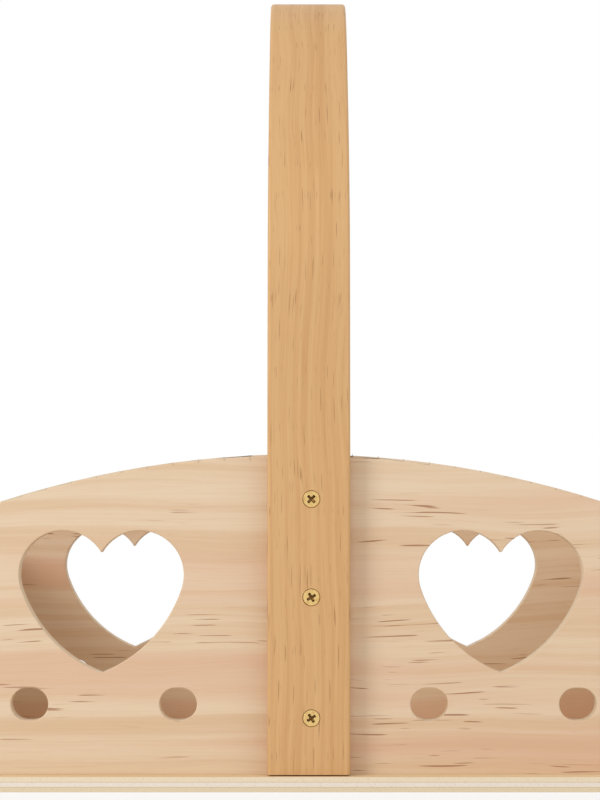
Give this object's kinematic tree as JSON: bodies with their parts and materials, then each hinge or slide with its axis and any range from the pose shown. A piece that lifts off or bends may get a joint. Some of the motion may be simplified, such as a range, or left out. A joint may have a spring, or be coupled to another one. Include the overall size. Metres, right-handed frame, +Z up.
{
  "type": "garden trug basket",
  "caption": "Wooden garden trug with arched sides, heart cut-outs, a flat base and a bent strap handle for carrying.",
  "frame": {"origin": "middle of the underside of the base, where the basket stands", "axes": "+Z up from the ground, +X along the tray to the right seen from the front side, +Y from the front side to the rear side"},
  "size_m": [0.32, 0.2322, 0.3335],
  "materials": {
    "pine_board": "sanded pine, unvarnished",
    "bent_strap": "steam-bent strap, sanded",
    "plywood": "three-ply sheet with sawn edges",
    "brass_screw": "bright yellow plating",
    "steel_pin": "plain drawn wire"
  },
  "bodies": {
    "root": {"base_board": "plywood", "front_side": "pine_board", "rear_side": "pine_board", "left_end": "pine_board", "right_end": "pine_board", "handle": "bent_strap", "front_handle_screw_lower": "brass_screw", "front_handle_screw_middle": "brass_screw", "front_handle_screw_upper": "brass_screw", "rear_handle_screw_lower": "brass_screw", "rear_handle_screw_middle": "brass_screw", "rear_handle_screw_upper": "brass_screw", "front_side_base_screw_1": "brass_screw", "front_side_base_screw_2": "brass_screw", "front_side_base_screw_3": "brass_screw", "rear_side_base_screw_1": "brass_screw", "rear_side_base_screw_2": "brass_screw", "rear_side_base_screw_3": "brass_screw", "left_end_base_screw_1": "brass_screw", "left_end_base_screw_2": "brass_screw", "right_end_base_screw_1": "brass_screw", "right_end_base_screw_2": "brass_screw", "front_left_corner_pin_1": "steel_pin", "front_left_corner_pin_2": "steel_pin", "front_right_corner_pin_1": "steel_pin", "front_right_corner_pin_2": "steel_pin", "rear_left_corner_pin_1": "steel_pin", "rear_left_corner_pin_2": "steel_pin", "rear_right_corner_pin_1": "steel_pin", "rear_right_corner_pin_2": "steel_pin"}
  },
  "joints": []
}
